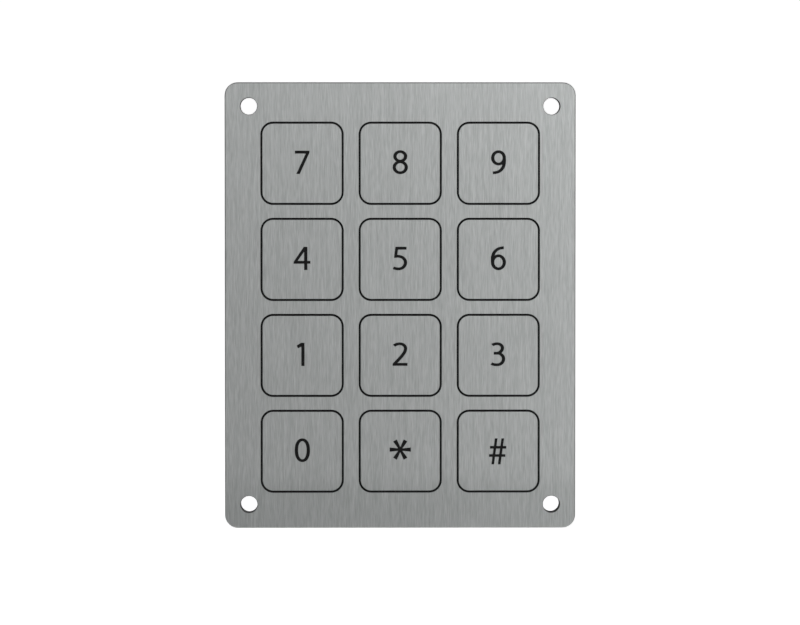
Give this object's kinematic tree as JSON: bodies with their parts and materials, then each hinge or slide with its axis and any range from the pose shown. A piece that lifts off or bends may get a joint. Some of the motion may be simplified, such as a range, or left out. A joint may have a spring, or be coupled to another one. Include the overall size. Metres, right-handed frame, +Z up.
{
  "type": "keypad access reader",
  "caption": "Flush stainless access keypad with square sprung keys, black legends and seals, four corner screw holes and a shallow rear cover with a cable inlet.",
  "frame": {"origin": "centre of the front plate's rear face, midway between the four panel screw holes", "axes": "+X to the right seen from the front, +Y into the wall, +Z up; the keys press along +Y"},
  "size_m": [0.084, 0.0222, 0.1068],
  "materials": {
    "brushed_stainless": "satin, brushed along Z",
    "legend_black": "semi-gloss enamel fill",
    "black_silicone": "matt",
    "grey_silicone": "matt",
    "carbon": "matt",
    "black_acetal": "matt",
    "green_board": "solder mask",
    "gold_plate": "plated",
    "brass_hex": "turned",
    "plain_steel": "bright",
    "tinned_lead": "tinned",
    "tinned_can": "satin",
    "chip_resin": "moulded epoxy",
    "terminal_green": "moulded",
    "black_housing": "fine spark texture",
    "black_rubber": "matt",
    "black_foam": "closed cell foam"
  },
  "bodies": {
    "housing": {"front_plate": "brushed_stainless", "key_seals": "black_silicone", "key_guide": "black_acetal", "key_mat": "grey_silicone", "circuit_board": "green_board", "contact_pads": "gold_plate", "weld_studs": "plain_steel", "stud_washers": "plain_steel", "stud_nuts": "plain_steel", "standoffs": "brass_hex", "controller_chip": "chip_resin", "chip_leads": "tinned_lead", "crystal": "tinned_can", "voltage_regulator": "chip_resin", "capacitors": "tinned_can", "chip_resistors": "chip_resin", "sounder": "chip_resin", "terminal_block": "terminal_green", "terminal_screws": "plain_steel", "rear_cover": "black_housing", "cover_screws": "plain_steel", "cover_gasket": "black_rubber", "panel_gasket": "black_foam", "cable_grommet": "black_rubber"},
    "button_7": {"key_7": "brushed_stainless", "legend_7": "legend_black", "contact_pill_7": "carbon"},
    "button_8": {"key_8": "brushed_stainless", "legend_8": "legend_black", "contact_pill_8": "carbon"},
    "button_9": {"key_9": "brushed_stainless", "legend_9": "legend_black", "contact_pill_9": "carbon"},
    "button_4": {"key_4": "brushed_stainless", "legend_4": "legend_black", "contact_pill_4": "carbon"},
    "button_5": {"key_5": "brushed_stainless", "legend_5": "legend_black", "contact_pill_5": "carbon"},
    "button_6": {"key_6": "brushed_stainless", "legend_6": "legend_black", "contact_pill_6": "carbon"},
    "button_1": {"key_1": "brushed_stainless", "legend_1": "legend_black", "contact_pill_1": "carbon"},
    "button_2": {"key_2": "brushed_stainless", "legend_2": "legend_black", "contact_pill_2": "carbon"},
    "button_3": {"key_3": "brushed_stainless", "legend_3": "legend_black", "contact_pill_3": "carbon"},
    "button_0": {"key_0": "brushed_stainless", "legend_0": "legend_black", "contact_pill_0": "carbon"},
    "button_star": {"key_star": "brushed_stainless", "legend_star": "legend_black", "contact_pill_star": "carbon"},
    "button_hash": {"key_hash": "brushed_stainless", "legend_hash": "legend_black", "contact_pill_hash": "carbon"}
  },
  "joints": [
    {"name": "press_7", "type": "slide", "parent": "housing", "child": "button_7", "axis": [0, 1, 0], "range_m": [0, 0.0006], "stiffness_N_per_m": 2000, "springref_m": -0.0006, "deforming": ["key_mat"]},
    {"name": "press_8", "type": "slide", "parent": "housing", "child": "button_8", "axis": [0, 1, 0], "range_m": [0, 0.0006], "stiffness_N_per_m": 2000, "springref_m": -0.0006, "deforming": ["key_mat"]},
    {"name": "press_9", "type": "slide", "parent": "housing", "child": "button_9", "axis": [0, 1, 0], "range_m": [0, 0.0006], "stiffness_N_per_m": 2000, "springref_m": -0.0006, "deforming": ["key_mat"]},
    {"name": "press_4", "type": "slide", "parent": "housing", "child": "button_4", "axis": [0, 1, 0], "range_m": [0, 0.0006], "stiffness_N_per_m": 2000, "springref_m": -0.0006, "deforming": ["key_mat"]},
    {"name": "press_5", "type": "slide", "parent": "housing", "child": "button_5", "axis": [0, 1, 0], "range_m": [0, 0.0006], "stiffness_N_per_m": 2000, "springref_m": -0.0006, "deforming": ["key_mat"]},
    {"name": "press_6", "type": "slide", "parent": "housing", "child": "button_6", "axis": [0, 1, 0], "range_m": [0, 0.0006], "stiffness_N_per_m": 2000, "springref_m": -0.0006, "deforming": ["key_mat"]},
    {"name": "press_1", "type": "slide", "parent": "housing", "child": "button_1", "axis": [0, 1, 0], "range_m": [0, 0.0006], "stiffness_N_per_m": 2000, "springref_m": -0.0006, "deforming": ["key_mat"]},
    {"name": "press_2", "type": "slide", "parent": "housing", "child": "button_2", "axis": [0, 1, 0], "range_m": [0, 0.0006], "stiffness_N_per_m": 2000, "springref_m": -0.0006, "deforming": ["key_mat"]},
    {"name": "press_3", "type": "slide", "parent": "housing", "child": "button_3", "axis": [0, 1, 0], "range_m": [0, 0.0006], "stiffness_N_per_m": 2000, "springref_m": -0.0006, "deforming": ["key_mat"]},
    {"name": "press_0", "type": "slide", "parent": "housing", "child": "button_0", "axis": [0, 1, 0], "range_m": [0, 0.0006], "stiffness_N_per_m": 2000, "springref_m": -0.0006, "deforming": ["key_mat"]},
    {"name": "press_star", "type": "slide", "parent": "housing", "child": "button_star", "axis": [0, 1, 0], "range_m": [0, 0.0006], "stiffness_N_per_m": 2000, "springref_m": -0.0006, "deforming": ["key_mat"]},
    {"name": "press_hash", "type": "slide", "parent": "housing", "child": "button_hash", "axis": [0, 1, 0], "range_m": [0, 0.0006], "stiffness_N_per_m": 2000, "springref_m": -0.0006, "deforming": ["key_mat"]}
  ]
}
